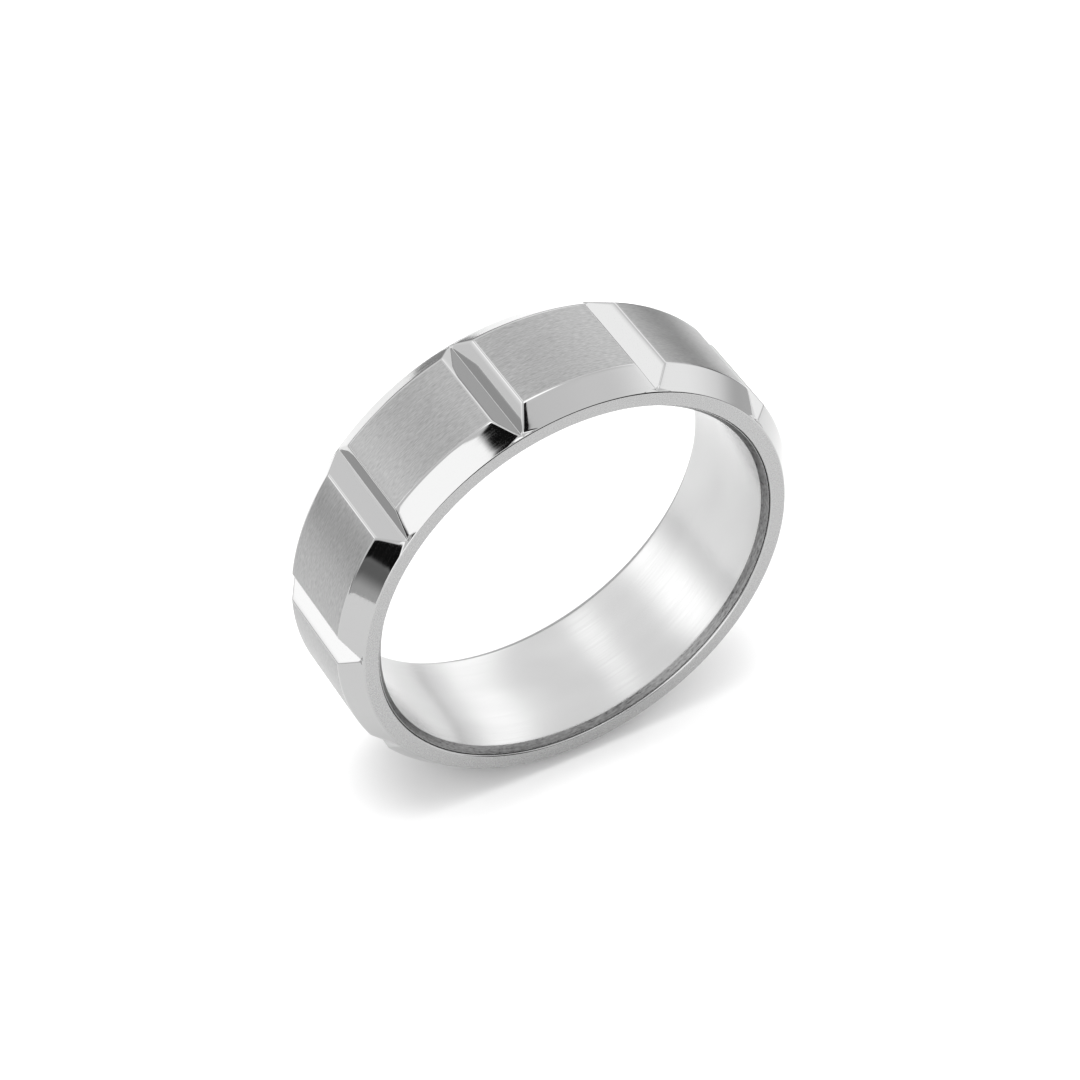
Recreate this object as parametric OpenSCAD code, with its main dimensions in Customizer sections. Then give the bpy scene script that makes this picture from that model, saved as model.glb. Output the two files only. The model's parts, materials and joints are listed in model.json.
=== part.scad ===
// Wedding band: a carved outer band pressed over a comfort-fit inner sleeve.
//
// The band stands on its edge. The finger axis runs along Y through the origin,
// which is the centre of the finger bore, and +Z is up. Angles round the band
// start at +X and run towards +Z.

/* [Finger bore] */
// Inside diameter at the middle of the band (20.2 is a US size 10 1/2)
bore_d = 20.2; // [14:0.1:25]
// Width of the straight, cylindrical land in the middle of the bore
bore_land_w = 3.2; // [1:0.1:3.4]
// How far the comfort curve opens the bore out beyond the land, on the radius
comfort_rise = 0.04; // [0.02:0.01:0.15]
// Width of the sloped inside edge, measured along the axis from the flat rim
inner_edge_w = 0.42; // [0.2:0.01:0.6]

/* [Band] */
// Width of the band along the finger axis
band_w = 7; // [5:0.1:12]
// Thickness of the whole band at the raised panels, sleeve included
band_t = 1.9; // [1.8:0.05:3.5]
// Wall of the inner sleeve at the land
sleeve_t = 0.33; // [0.3:0.01:0.6]
// Width of the polished bevel along each side, measured along the finger axis
bevel_w = 1.155; // [0.5:0.005:2]
// Drop of the polished bevel from the panels to the flat rim
bevel_drop = 0.8; // [0.3:0.01:1]
// How far each end of the sleeve sits inside the flat rim
sleeve_inset = 0.1; // [0:0.01:0.15]
// Edge break on both sides of the seam between band and sleeve
seam_break = 0.05; // [0.02:0.01:0.08]
// Gap left between the band and the sleeve, where 0 is a pressed seam
seam_gap = 0; // [0:0.005:0.05]

/* [Cross grooves] */
// Number of V-grooves cut across the band
groove_count = 10; // [4:1:14]
// Depth of each groove below the panels
groove_depth = 0.77; // [0.3:0.01:1]
// Included angle of the V
groove_angle = 96; // [60:1:120]
// Where the first groove lies round the band
groove_turn = 33; // [0:1:90]

/* [Hidden] */
$fn = 180;

// radii from the finger axis outwards
bore_r = bore_d / 2;
seam_r = bore_r + sleeve_t;
panel_r = bore_r + band_t;
rim_r = panel_r - bevel_drop;
groove_r = panel_r - groove_depth;

// distances from the middle of the band along the finger axis
side_y = band_w / 2;
panel_y = side_y - bevel_w;
sleeve_y = side_y - sleeve_inset;
inner_edge_y = side_y - inner_edge_w;

// The comfort curve is tangent to the land and meets the inside edge.
comfort_run = inner_edge_y - bore_land_w / 2;
comfort_r = (comfort_run * comfort_run + comfort_rise * comfort_rise) / (2 * comfort_rise);

groove_pitch = 360 / groove_count;
cutter_over = 1;

// Turns a ring drawn round Z so that its axis is the finger axis.
module on_finger_axis() {
    rotate([90, 0, 0])
        children();
}

// Closes a section whose points are given for one side only, by adding the
// same points mirrored to the other side in reverse order.
function both_sides(points) = concat(
    points,
    [for (i = [len(points) - 1 : -1 : 0]) [points[i][0], -points[i][1]]]
);

// Section of the outer band: bore, edge break, flat rim, bevel and panel.
module outer_band_section() {
    inside_r = seam_r + seam_gap;
    polygon(both_sides([
        [inside_r, side_y - seam_break],
        [inside_r + seam_break, side_y],
        [rim_r, side_y],
        [panel_r, panel_y]
    ]));
}

// Blank of the sleeve before its inside is curved: a tube section whose inside
// corners are sloped away, up to the broken outside corners.
module sleeve_blank_section() {
    polygon(both_sides([
        [bore_r, inner_edge_y],
        [bore_r + comfort_rise, inner_edge_y],
        [seam_r - seam_break, sleeve_y],
        [seam_r, sleeve_y - seam_break]
    ]));
}

// What the comfort curve leaves standing: the land, one large circle tangent to
// each end of it, and the two sides beyond the curve, which have their slopes.
module comfort_curve_section() {
    translate([0, -bore_land_w / 2])
        square([seam_r, bore_land_w]);
    for (side = [-1, 1])
        translate([bore_r + comfort_r, side * bore_land_w / 2])
            circle(r = comfort_r);
    translate([bore_r + comfort_rise, -side_y])
        square([sleeve_t, band_w]);
}

// One V cut straight across the band, with its bottom line parallel to the
// finger axis.
module groove_cutter() {
    reach = groove_depth + cutter_over;
    half_w = reach * tan(groove_angle / 2);
    linear_extrude(height = band_w + 2 * cutter_over, center = true)
        polygon([
            [groove_r, 0],
            [groove_r + reach, half_w],
            [groove_r + reach, -half_w]
        ]);
}

// Carved outer band: satin panels between the grooves, polished bevels and rims.
module outer_band() {
    color([0.76, 0.76, 0.76])
        on_finger_axis()
            difference() {
                rotate_extrude()
                    outer_band_section();
                for (i = [0 : groove_count - 1])
                    rotate([0, 0, groove_turn + i * groove_pitch])
                        groove_cutter();
            }
}

// Polished inner sleeve with a comfort-fit bore.
module comfort_sleeve() {
    color([0.88, 0.88, 0.88])
        on_finger_axis()
            rotate_extrude()
                intersection() {
                    sleeve_blank_section();
                    comfort_curve_section();
                }
}

outer_band();
comfort_sleeve();
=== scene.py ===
import json
import math

import bpy
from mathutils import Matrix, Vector


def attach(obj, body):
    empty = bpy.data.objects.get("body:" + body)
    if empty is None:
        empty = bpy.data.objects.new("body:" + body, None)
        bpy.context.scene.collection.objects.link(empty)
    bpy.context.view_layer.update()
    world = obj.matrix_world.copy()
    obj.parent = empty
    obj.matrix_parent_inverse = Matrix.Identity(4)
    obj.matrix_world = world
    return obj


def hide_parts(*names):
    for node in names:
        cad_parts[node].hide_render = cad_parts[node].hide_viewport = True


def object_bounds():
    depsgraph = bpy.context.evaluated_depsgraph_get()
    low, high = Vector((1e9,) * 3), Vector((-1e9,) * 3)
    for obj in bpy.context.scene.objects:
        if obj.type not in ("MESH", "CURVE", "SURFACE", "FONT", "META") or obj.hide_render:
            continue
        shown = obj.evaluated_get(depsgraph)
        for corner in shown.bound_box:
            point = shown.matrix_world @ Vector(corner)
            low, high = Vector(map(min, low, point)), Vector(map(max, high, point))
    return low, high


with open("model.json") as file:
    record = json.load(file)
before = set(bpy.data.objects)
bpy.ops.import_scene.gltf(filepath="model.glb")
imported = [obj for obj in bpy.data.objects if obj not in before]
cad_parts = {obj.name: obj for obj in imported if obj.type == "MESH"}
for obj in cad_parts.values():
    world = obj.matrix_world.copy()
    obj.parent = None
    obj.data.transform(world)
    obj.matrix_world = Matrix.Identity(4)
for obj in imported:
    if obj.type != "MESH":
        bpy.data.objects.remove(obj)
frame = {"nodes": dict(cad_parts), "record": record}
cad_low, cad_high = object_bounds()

MM = 0.001

# ---------------------------------------------------------------- sizes, mm
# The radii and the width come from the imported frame. The other sizes are those
# of the CAD source, which the frame doesn't state.
BEVEL_W = 1.155
BEVEL_DROP = 0.8
SLEEVE_T = 0.33
COMFORT_RISE = 0.04
INNER_EDGE_W = 0.42
SLEEVE_INSET = 0.1
SEAM_BREAK = 0.05
GROOVE_COUNT = 10
GROOVE_DEPTH = 0.77
GROOVE_HALF_ANGLE = math.radians(48)
GROOVE_TURN = math.radians(33)

# How far edges are rounded back, measured along their faces: those of the panels
# and grooves, the flat rim's outer edge, the inner start of the sleeve's sloped
# edge, and the two edges of the seam.
EDGE_ROUND = 0.07
RIM_ROUND = 0.05
SLOPE_ROUND = 0.03
SEAM_ROUND = 0.02
# Gap that shows as the dark line of the seam.
SEAM_GAP = 0.02


def largest_radius(node):
    """Distance in mm of a CAD node's outermost point from the finger axis, Y."""
    return max(math.hypot(v.co.x, v.co.z) for v in node.data.vertices) / MM


def bore_mount():
    return next(m for m in frame["record"]["mounts"] if m["name"] == "finger_bore")


PANEL_R = largest_radius(frame["nodes"]["outer_band"])
BORE_R = bore_mount()["dims"]["r_mm"]
LAND_W = bore_mount()["dims"]["length_mm"]
SIDE_Y = (cad_high.y - cad_low.y) / 2 / MM
SEAM_R = BORE_R + SLEEVE_T
RIM_R = PANEL_R - BEVEL_DROP
GROOVE_R = PANEL_R - GROOVE_DEPTH
PANEL_Y = SIDE_Y - BEVEL_W
SLEEVE_Y = SIDE_Y - SLEEVE_INSET
INNER_EDGE_Y = SIDE_Y - INNER_EDGE_W
PITCH = 2 * math.pi / GROOVE_COUNT


# ------------------------------------------------------------ section lines
def mix(a, b, t):
    """The point a share t of the way from a to b."""
    return [p + (q - p) * t for p, q in zip(a, b)]


def curve_through_corner(start, corner, end, steps):
    """Points of the quadratic curve that leaves start and reaches end, both
    tangent to the corner's sides."""
    points = []
    for i in range(steps + 1):
        t = i / steps
        points.append(mix(mix(start, corner, t), mix(corner, end, t), t))
    return points


def rounded(corners, rounds, steps=4):
    """The line through the corners, each rounded back by its own distance."""
    line = [corners[0]]
    for before, corner, after, back in zip(corners, corners[1:], corners[2:], rounds):
        if back == 0:
            line.append(corner)
            continue
        start = mix(corner, before, back / math.dist(corner, before))
        end = mix(corner, after, back / math.dist(corner, after))
        line += curve_through_corner(start, corner, end, steps)
    return line + [corners[-1]]


def subdivided(line, longest):
    """The same line with every stretch cut into parts no longer than longest."""
    points = [line[0]]
    for a, b in zip(line, line[1:]):
        parts = max(1, math.ceil(math.dist(a, b) / longest))
        points += [mix(a, b, i / parts) for i in range(1, parts + 1)]
    return points


# ------------------------------------------------------------------- meshes
def new_piece(name, vertices, faces, materials, face_material):
    """A mesh piece from points in mm, shaded smooth with flat faces kept flat."""
    mesh = bpy.data.meshes.new(name)
    mesh.from_pydata([Vector(v) * MM for v in vertices], [], faces)
    for material in materials:
        mesh.materials.append(material)
    mesh.polygons.foreach_set("material_index", face_material)
    mesh.polygons.foreach_set("use_smooth", [True] * len(faces))
    mesh.validate()
    mesh.update()
    piece = bpy.data.objects.new(name, mesh)
    bpy.context.scene.collection.objects.link(piece)
    weighted = piece.modifiers.new("flat faces stay flat", "WEIGHTED_NORMAL")
    weighted.weight = 100
    weighted.keep_sharp = True
    return piece


def ring_point(radius, angle, y):
    """A point of the band; angles start at +X and run towards +Z."""
    return (radius * math.cos(angle), y, radius * math.sin(angle))


def closed_grid(rows):
    """Vertices and quads of a closed torus-like grid: rows of equal length, each
    joined to the next, and the last to the first."""
    count, width = len(rows), len(rows[0])
    vertices = [point for row in rows for point in row]
    faces = []
    for i in range(count):
        for j in range(width):
            a = i * width + j
            b = i * width + (j + 1) % width
            c = (i + 1) % count * width + (j + 1) % width
            d = (i + 1) % count * width + j
            faces.append((a, b, c, d))
    return vertices, faces


# --------------------------------------------------------------- outer band
WALL_POINTS = 5
ROUND_STEPS = 3
PANEL_STEPS = 28
BOTTOM_STEP = 0.02
BAND_STEP = 0.18


def groove_edge_angle(radius):
    """Angle from a groove's middle to its wall, at a radius above its bottom."""
    b = GROOVE_HALF_ANGLE
    return b - math.asin(min(1, GROOVE_R * math.sin(b) / radius))


def groove_half(radius):
    """(radius, angle from the groove's middle) from the groove's bottom up its
    wall and round its edge to the surface that lies at the given radius."""
    if radius <= GROOVE_R:
        return [(radius, angle) for _, angle in groove_half(PANEL_R)]
    lean = (math.sin(GROOVE_HALF_ANGLE), math.cos(GROOVE_HALF_ANGLE))
    edge_angle = groove_edge_angle(radius)
    corner = (radius * math.sin(edge_angle), radius * math.cos(edge_angle))
    wall = math.dist(corner, (0, GROOVE_R))
    back = min(EDGE_ROUND, 0.4 * wall)
    along = [0, min(BOTTOM_STEP, 0.2 * wall)]
    along += [along[1] + (wall - back - along[1]) * i / WALL_POINTS for i in range(1, WALL_POINTS)]
    flat = [(lean[0] * s, GROOVE_R + lean[1] * s) for s in along]
    start = (corner[0] - lean[0] * back, corner[1] - lean[1] * back)
    end_angle = edge_angle + back / radius
    end = (radius * math.sin(end_angle), radius * math.cos(end_angle))
    flat += curve_through_corner(start, corner, end, ROUND_STEPS)
    return [(math.hypot(u, h), math.atan2(u, h)) for u, h in flat]


def band_row(radius, y):
    """One ring of points at y, from the first groove's bottom all the way round.
    Also says which of them start a stretch of uncut surface."""
    up = groove_half(radius)
    down = [(r, PITCH - angle) for r, angle in reversed(up[1:])]
    first, last = up[-1][1], down[0][1]
    surface = [
        (radius, first + (last - first) * i / PANEL_STEPS) for i in range(1, PANEL_STEPS)
    ]
    sector = up + surface + down
    uncut = [len(up) - 1 <= j < len(up) - 1 + PANEL_STEPS for j in range(len(sector))]
    row = [
        ring_point(r, GROOVE_TURN + k * PITCH + angle, y)
        for k in range(GROOVE_COUNT)
        for r, angle in sector
    ]
    return row, uncut * GROOVE_COUNT


def band_outline():
    """(radius, y) from the middle of the panel over one side to the seam."""
    tip_y = PANEL_Y + BEVEL_W * GROOVE_DEPTH / BEVEL_DROP
    outside = rounded(
        [[PANEL_R, 0], [PANEL_R, PANEL_Y], [GROOVE_R, tip_y], [RIM_R, SIDE_Y]],
        [EDGE_ROUND, 0],
        ROUND_STEPS,
    )
    side = rounded(
        [[GROOVE_R, tip_y], [RIM_R, SIDE_Y], [SEAM_R + SEAM_BREAK, SIDE_Y],
         [SEAM_R, SIDE_Y - SEAM_BREAK], [SEAM_R, 0]],
        [RIM_ROUND, SEAM_ROUND, SEAM_ROUND],
        ROUND_STEPS,
    )
    return subdivided(outside[:-1] + side[1:], BAND_STEP)


def make_outer_band(satin, polish, matt):
    """The carved band: satin panels, polished V-grooves and bevels, matt rims."""
    half = band_outline()
    outline = [[PANEL_R, 0]] + half[1:-1] + [[SEAM_R, 0]] + [[r, -y] for r, y in reversed(half[1:-1])]
    rows, uncut = [], []
    for radius, y in outline:
        row, starts = band_row(radius, y)
        rows.append(row)
        uncut.append(starts)
    vertices, faces = closed_grid(rows)
    width = len(rows[0])
    on_panel = [abs(y) <= PANEL_Y - EDGE_ROUND + 1e-6 and radius > GROOVE_R for radius, y in outline]
    on_rim = [abs(abs(y) - SIDE_Y) < 1e-6 for radius, y in outline]
    face_material = []
    for i in range(len(rows)):
        after = (i + 1) % len(rows)
        satin_row = on_panel[i] and on_panel[after]
        other = 2 if on_rim[i] and on_rim[after] else 1
        face_material += [0 if satin_row and uncut[i][j] else other for j in range(width)]
    band = new_piece("outer_band_finished", vertices, faces, [satin, polish, matt], face_material)
    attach(band, "root")
    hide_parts("outer_band")
    return band


# ------------------------------------------------------------ inner sleeve
RING_STEPS = 360
COMFORT_STEPS = 10
SLEEVE_STEP = 0.3


def comfort_curve():
    """(radius, y) of the bore from its middle out to the sloped inside edge."""
    run = INNER_EDGE_Y - LAND_W / 2
    curve_r = (run * run + COMFORT_RISE * COMFORT_RISE) / (2 * COMFORT_RISE)
    sweep = math.asin(run / curve_r)
    line = [[BORE_R, 0]]
    for i in range(COMFORT_STEPS + 1):
        a = sweep * i / COMFORT_STEPS
        line.append([BORE_R + curve_r * (1 - math.cos(a)), LAND_W / 2 + curve_r * math.sin(a)])
    return line


def sleeve_outline():
    """(radius, y) from the middle of the bore over one side to the outside."""
    outside = SEAM_R - SEAM_GAP
    bore = comfort_curve()
    end = rounded(
        [bore[-2], bore[-1], [SEAM_R - SEAM_BREAK, SLEEVE_Y],
         [outside, SLEEVE_Y - SEAM_BREAK + SEAM_GAP], [outside, 0]],
        [SLOPE_ROUND, SEAM_ROUND, SEAM_ROUND],
        ROUND_STEPS,
    )
    return subdivided(bore[:-1] + end[1:], SLEEVE_STEP)


def make_comfort_sleeve(polish, edge):
    """The pressed-in sleeve with its comfort-fit bore."""
    half = sleeve_outline()
    outline = half + [[r, -y] for r, y in reversed(half[1:-1])]
    rows = []
    for r, y in outline:
        rows.append([ring_point(r, 2 * math.pi * k / RING_STEPS, y) for k in range(RING_STEPS)])
    vertices, faces = closed_grid(rows)
    faces = [tuple(reversed(face)) for face in faces]
    sloped = []
    for (r0, y0), (r1, y1) in zip(outline, outline[1:] + outline[:1]):
        middle = (abs(y0) + abs(y1)) / 2
        sloped.append(1 if middle > INNER_EDGE_Y and (r0 + r1) / 2 < SEAM_R - SEAM_BREAK else 0)
    face_material = [s for s in sloped for _ in range(RING_STEPS)]
    sleeve = new_piece("comfort_sleeve_finished", vertices, faces, [polish, edge], face_material)
    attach(sleeve, "root")
    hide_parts("comfort_sleeve")
    return sleeve


# ---------------------------------------------------------------- materials
SATIN_METAL = (0.355, 0.355, 0.355, 1)
BAND_METAL = (0.38, 0.38, 0.38, 1)
SLEEVE_METAL = (0.475, 0.475, 0.475, 1)
# The sloped inside edge's metal is a darker copy of the white gold: painted shade standing in for the dim
# light on that edge.
SHADED_TURNED_METAL = (0.24, 0.24, 0.24, 1)


def new_material(name, colour, roughness):
    """A bare metal whose roughness the caller may vary with grain()."""
    material = bpy.data.materials.new(name)
    material.use_nodes = True
    shader = material.node_tree.nodes["Principled BSDF"]
    shader.inputs["Base Color"].default_value = colour
    shader.inputs["Metallic"].default_value = 1
    shader.inputs["Roughness"].default_value = roughness
    return material, material.node_tree, shader


def calculate(tree, operation, *values):
    """A Math node; each value is a number or another node's output."""
    node = tree.nodes.new("ShaderNodeMath")
    node.operation = operation
    for socket, value in zip(node.inputs, values):
        if isinstance(value, (int, float)):
            socket.default_value = value
        else:
            tree.links.new(value, socket)
    return node.outputs[0]


def grain(tree, along, across, detail=2.0):
    """Noise drawn out round the band: marks are about `along` mm long round the
    finger axis and `across` mm wide along that axis and on the radius."""
    place = tree.nodes.new("ShaderNodeTexCoord")
    parts = tree.nodes.new("ShaderNodeSeparateXYZ")
    tree.links.new(place.outputs["Object"], parts.inputs[0])
    x, y, z = parts.outputs
    angle = calculate(tree, "ARCTAN2", z, x)
    squares = calculate(tree, "ADD", calculate(tree, "MULTIPLY", x, x), calculate(tree, "MULTIPLY", z, z))
    radius = calculate(tree, "SQRT", squares)
    vector = tree.nodes.new("ShaderNodeCombineXYZ")
    tree.links.new(calculate(tree, "MULTIPLY", angle, PANEL_R / along), vector.inputs[0])
    tree.links.new(calculate(tree, "MULTIPLY", y, 1 / (across * MM)), vector.inputs[1])
    tree.links.new(calculate(tree, "MULTIPLY", radius, 1 / (across * MM)), vector.inputs[2])
    noise = tree.nodes.new("ShaderNodeTexNoise")
    noise.inputs["Scale"].default_value = 1
    noise.inputs["Detail"].default_value = detail
    tree.links.new(vector.outputs[0], noise.inputs["Vector"])
    return noise.outputs["Fac"]


def spread(tree, value, low, high):
    """Stretches noise, whose values mostly lie between 0.3 and 0.7, to a range."""
    node = tree.nodes.new("ShaderNodeMapRange")
    tree.links.new(value, node.inputs["Value"])
    node.inputs["From Min"].default_value = 0.3
    node.inputs["From Max"].default_value = 0.7
    node.inputs["To Min"].default_value = low
    node.inputs["To Max"].default_value = high
    return node.outputs[0]


def tint(tree, shader, value, colour, low):
    """Varies the metal's colour between `low` of it and all of it."""
    mixer = tree.nodes.new("ShaderNodeMix")
    mixer.data_type = "RGBA"
    mixer.inputs["A"].default_value = [c * low for c in colour[:3]] + [1]
    mixer.inputs["B"].default_value = colour
    tree.links.new(spread(tree, value, 0, 1), mixer.inputs["Factor"])
    tree.links.new(mixer.outputs["Result"], shader.inputs["Base Color"])


def relief(tree, shader, value, height):
    """Bump from a value between 0 and 1 that stands for `height` mm."""
    bump = tree.nodes.new("ShaderNodeBump")
    bump.inputs["Strength"].default_value = 1
    bump.inputs["Distance"].default_value = height * MM
    tree.links.new(value, bump.inputs["Height"])
    tree.links.new(bump.outputs[0], shader.inputs["Normal"])


def brush_direction(tree, shader, amount):
    """Spreads highlights across marks that run round the finger axis."""
    tangent = tree.nodes.new("ShaderNodeTangent")
    tangent.direction_type = "RADIAL"
    tangent.axis = "Y"
    tree.links.new(tangent.outputs[0], shader.inputs["Tangent"])
    shader.inputs["Anisotropic"].default_value = amount
    shader.inputs["Anisotropic Rotation"].default_value = 0.25


def satin_material():
    """Panels brushed round the band in short, fine, overlapping strokes."""
    material, tree, shader = new_material("satin_white_gold", SATIN_METAL, 0.34)
    fine = grain(tree, 0.3, 0.048, 3.0)
    strokes = grain(tree, 1.2, 0.09)
    most = calculate(tree, "MULTIPLY", fine, 0.7)
    both = calculate(tree, "MULTIPLY_ADD", strokes, 0.3, most)
    tint(tree, shader, both, SATIN_METAL, 0.62)
    tree.links.new(spread(tree, strokes, 0.3, 0.4), shader.inputs["Roughness"])
    relief(tree, shader, both, 0.005)
    brush_direction(tree, shader, 0.6)
    return material


def polish_material():
    """Mirror-polished bevels and groove walls with faint polishing lines."""
    material, tree, shader = new_material("polished_white_gold", BAND_METAL, 0.05)
    lines = grain(tree, 2.5, 0.08)
    tree.links.new(spread(tree, lines, 0.03, 0.09), shader.inputs["Roughness"])
    relief(tree, shader, lines, 0.0002)
    return material


def bore_material():
    """The sleeve's bore: polished, then softened by fine lapping lines."""
    material, tree, shader = new_material("polished_bore", SLEEVE_METAL, 0.2)
    lines = grain(tree, 4.0, 0.1)
    haze = grain(tree, 5.0, 2.5, 1.0)
    tint(tree, shader, haze, SLEEVE_METAL, 0.92)
    tree.links.new(spread(tree, lines, 0.2, 0.26), shader.inputs["Roughness"])
    relief(tree, shader, lines, 0.0002)
    brush_direction(tree, shader, 0.4)
    return material


def rim_material():
    """The flat rims: a fine, even matt grain."""
    material, tree, shader = new_material("matt_rim", BAND_METAL, 0.25)
    specks = grain(tree, 0.1, 0.07)
    tint(tree, shader, specks, BAND_METAL, 0.86)
    tree.links.new(spread(tree, specks, 0.2, 0.32), shader.inputs["Roughness"])
    relief(tree, shader, specks, 0.0012)
    return material


def edge_material():
    """The sloped inside edge: left as turned and coarser, with its metal colour darkened as painted
    shade.
    """
    material, tree, shader = new_material("turned_inside_edge", SHADED_TURNED_METAL, 0.35)
    specks = grain(tree, 0.3, 0.07, 4.0)
    tint(tree, shader, specks, SHADED_TURNED_METAL, 0.4)
    tree.links.new(spread(tree, specks, 0.25, 0.45), shader.inputs["Roughness"])
    relief(tree, shader, specks, 0.006)
    return material


# -------------------------------------------------------------------- stage
FLOOR_SIZE = 0.07
BACKDROP = 0.93


def make_floor():
    """A plain pale floor under the band's lowest point, reaching FLOOR_SIZE metres
    each way, so that the band also mirrors what lies beyond it."""
    mesh = bpy.data.meshes.new("floor")
    corners = [(-1, -1), (1, -1), (1, 1), (-1, 1)]
    points = [(x * FLOOR_SIZE, y * FLOOR_SIZE, cad_low.z) for x, y in corners]
    mesh.from_pydata(points, [], [(0, 1, 2, 3)])
    floor = bpy.data.objects.new("floor", mesh)
    bpy.context.scene.collection.objects.link(floor)
    material = bpy.data.materials.new("pale_floor")
    material.use_nodes = True
    shader = material.node_tree.nodes["Principled BSDF"]
    shader.inputs["Base Color"].default_value = (0.81, 0.81, 0.81, 1)
    shader.inputs["Roughness"].default_value = 1
    shader.inputs["Specular IOR Level"].default_value = 0
    mesh.materials.append(material)


def direction(azimuth, elevation):
    """Unit vector towards a place round the band; azimuth 0 is in front, -Y."""
    a, e = math.radians(azimuth), math.radians(elevation)
    return Vector((math.sin(a) * math.cos(e), -math.cos(a) * math.cos(e), math.sin(e)))


def smooth_step(tree, value, start, end):
    """0 before start, 1 after end, and a soft passage between them."""
    node = tree.nodes.new("ShaderNodeMapRange")
    node.interpolation_type = "SMOOTHSTEP"
    tree.links.new(value, node.inputs["Value"])
    for name, number in (("From Min", start), ("From Max", end), ("To Min", 0), ("To Max", 1)):
        node.inputs[name].default_value = number
    return node.outputs[0]


class Studio:
    """Light from all round the band, painted by direction in degrees: a plain
    surround with soft boxes and dark flags laid over it."""

    def __init__(self, level):
        world = bpy.data.worlds.new("studio")
        world.use_nodes = True
        bpy.context.scene.world = world
        self.tree = world.node_tree
        place = self.tree.nodes.new("ShaderNodeTexCoord")
        parts = self.tree.nodes.new("ShaderNodeSeparateXYZ")
        self.tree.links.new(place.outputs["Generated"], parts.inputs[0])
        x, y, z = parts.outputs
        front = calculate(self.tree, "MULTIPLY", y, -1)
        self.azimuth = self.degrees(calculate(self.tree, "ARCTAN2", x, front))
        self.elevation = self.degrees(calculate(self.tree, "ARCSINE", z))
        self.level = level

    def degrees(self, angle):
        return calculate(self.tree, "DEGREES", angle)

    def inside(self, angle, low, high, soft):
        """1 between two angles and 0 outside, with edges `soft` degrees wide."""
        up = smooth_step(self.tree, angle, low - soft / 2, low + soft / 2)
        down = smooth_step(self.tree, angle, high - soft / 2, high + soft / 2)
        return calculate(self.tree, "SUBTRACT", up, down)

    def panel(self, level, azimuth, elevation, soft):
        """Lays a soft box or a flag of one brightness over a range of directions.
        Its edges are soft[0] degrees wide sideways and soft[1] upwards."""
        across = self.inside(self.azimuth, *azimuth, soft[0])
        upward = self.inside(self.elevation, *elevation, soft[1])
        mask = calculate(self.tree, "MULTIPLY", across, upward)
        change = calculate(self.tree, "SUBTRACT", level, self.level)
        self.level = calculate(self.tree, "MULTIPLY_ADD", change, mask, self.level)

    def finish(self):
        """Lights the scene, and shows the camera a plain surround."""
        path = self.tree.nodes.new("ShaderNodeLightPath")
        shown = calculate(self.tree, "SUBTRACT", BACKDROP, self.level)
        level = calculate(self.tree, "MULTIPLY_ADD", shown, path.outputs["Is Camera Ray"], self.level)
        background = self.tree.nodes["Background"]
        self.tree.links.new(level, background.inputs["Strength"])
        background.inputs["Color"].default_value = (1, 1, 1, 1)


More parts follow.
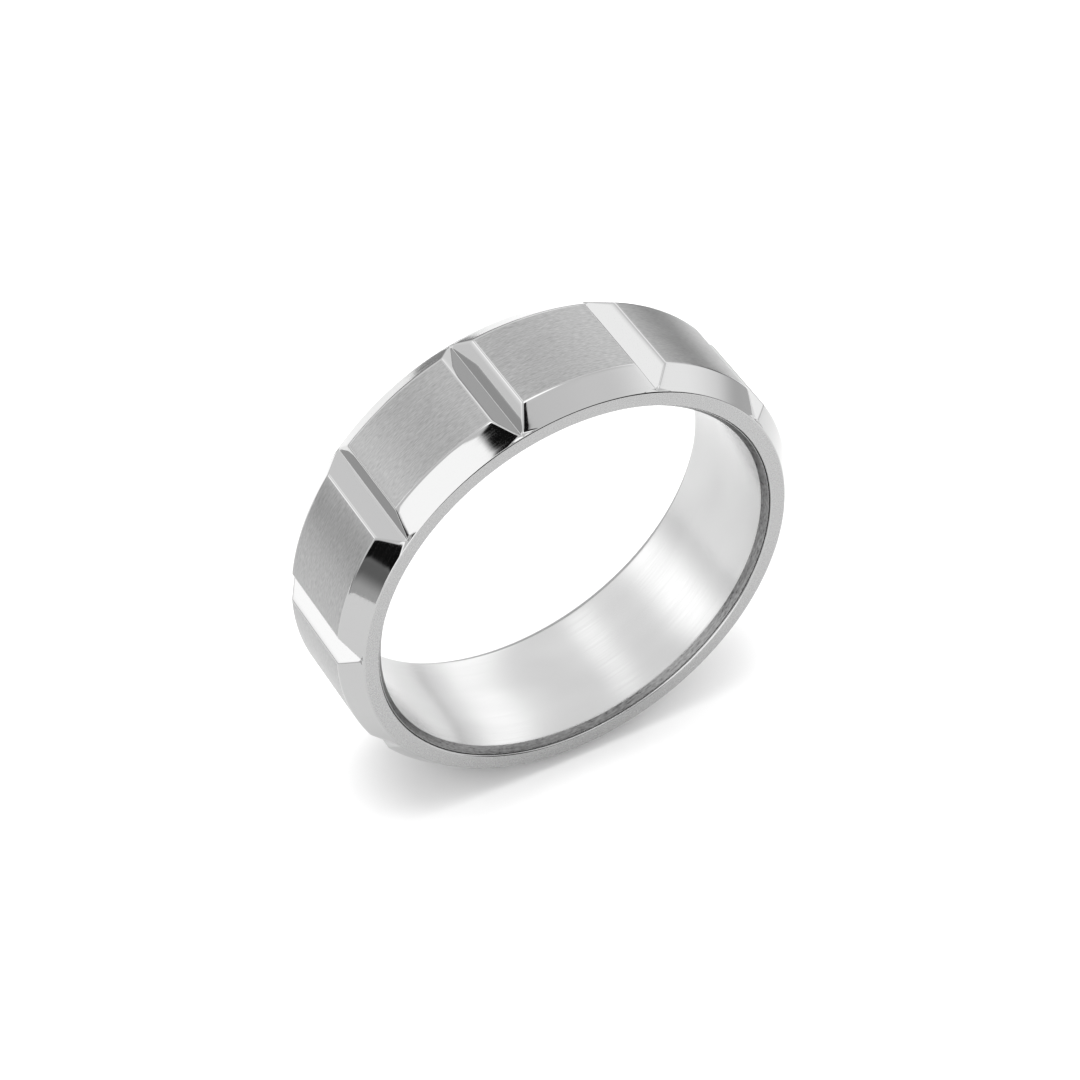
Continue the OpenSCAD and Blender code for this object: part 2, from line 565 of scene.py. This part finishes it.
def make_studio():
    studio = Studio(1.25)
    studio.panel(0.4, (-200, 200), (-100, -7), (1, 20))       # dark table beyond the floor
    studio.panel(0.9, (60, 115), (-100, -4), (16, 16))        # paler on the right
    studio.panel(0.8, (-95, -62), (-100, -2), (2, 10))        # and on the left
    studio.panel(1.4, (-200, 200), (66, 100), (1, 16))        # pale ceiling
    studio.panel(2.8, (-200, 200), (73, 100), (1, 8))         # lamp overhead
    studio.panel(1.4, (10, 75), (20, 60), (30, 20))           # pale wall, front right
    studio.panel(1.45, (-200, -122), (0, 62), (16, 12))       # pale wall behind
    studio.panel(1.45, (122, 200), (0, 62), (16, 12))         # its other half
    studio.panel(2.0, (64, 110), (4, 40), (16, 30))           # strip light on the right
    studio.panel(0.03, (-17, 62), (-30, 28), (2, 6))          # dark front, with the photographer
    studio.panel(2.4, (-66, -18), (15.5, 54.5), (2, 2))       # white board below the camera
    studio.panel(2.4, (-61, -18), (-10, 20), (2, 4))          # its lower part
    studio.panel(0.01, (-30, 1), (54.5, 72), (5, 4))          # the camera
    studio.panel(0.25, (-90, -62), (-8, 3), (2, 8))           # dim gap under the flag
    studio.panel(0.01, (-90, -62), (1, 14.5), (2, 2))         # flag on the left
    studio.panel(2.15, (-172, -153), (43, 57), (12, 10))       # small lamp high behind
    studio.panel(2.5, (-142, -119), (9, 29), (18, 14))        # soft box behind on the left
    studio.panel(2.1, (114, 156), (13, 36), (16, 14))         # soft box behind on the right
    studio.panel(0.22, (110, 160), (-40, 0), (10, 8))         # flag under it
    studio.finish()


KEY_AZIMUTH = -125
KEY_ELEVATION = 82
KEY_STRENGTH = 1.2
KEY_WIDTH = 35


def make_key():
    """A broad lamp high behind that only lights the floor, so that the band's
    shadow falls forward to the right."""
    data = bpy.data.lights.new("key", "SUN")
    data.energy = KEY_STRENGTH
    data.angle = math.radians(KEY_WIDTH)
    key = bpy.data.objects.new("key", data)
    key.visible_glossy = False
    bpy.context.scene.collection.objects.link(key)
    towards = direction(KEY_AZIMUTH, KEY_ELEVATION)
    key.rotation_mode = "QUATERNION"
    key.rotation_quaternion = towards.to_track_quat("Z", "Y")


# ------------------------------------------------------------------- camera
CAMERA_AZIMUTH = -29.02
CAMERA_ELEVATION = 45.1
CAMERA_DISTANCE = 0.1917
CAMERA_LENS = 135.96
AIM_LEFT = 0.000123


def make_camera():
    """A long lens aimed just left of the middle of the finger bore."""
    data = bpy.data.cameras.new("camera")
    data.lens = CAMERA_LENS
    data.sensor_width = 36
    data.clip_start = 0.01
    data.clip_end = 10
    camera = bpy.data.objects.new("camera", data)
    bpy.context.scene.collection.objects.link(camera)
    middle = (cad_low + cad_high) / 2
    back = direction(CAMERA_AZIMUTH, CAMERA_ELEVATION)
    aim = middle + Vector((-AIM_LEFT, 0, 0))
    camera.location = aim + back * CAMERA_DISTANCE
    camera.rotation_mode = "QUATERNION"
    camera.rotation_quaternion = (-back).to_track_quat("-Z", "Y")
    bpy.context.scene.camera = camera


make_camera()
make_studio()
make_key()
make_floor()
make_outer_band(satin_material(), polish_material(), rim_material())
make_comfort_sleeve(bore_material(), edge_material())
bpy.context.scene.view_settings.view_transform = "Standard"
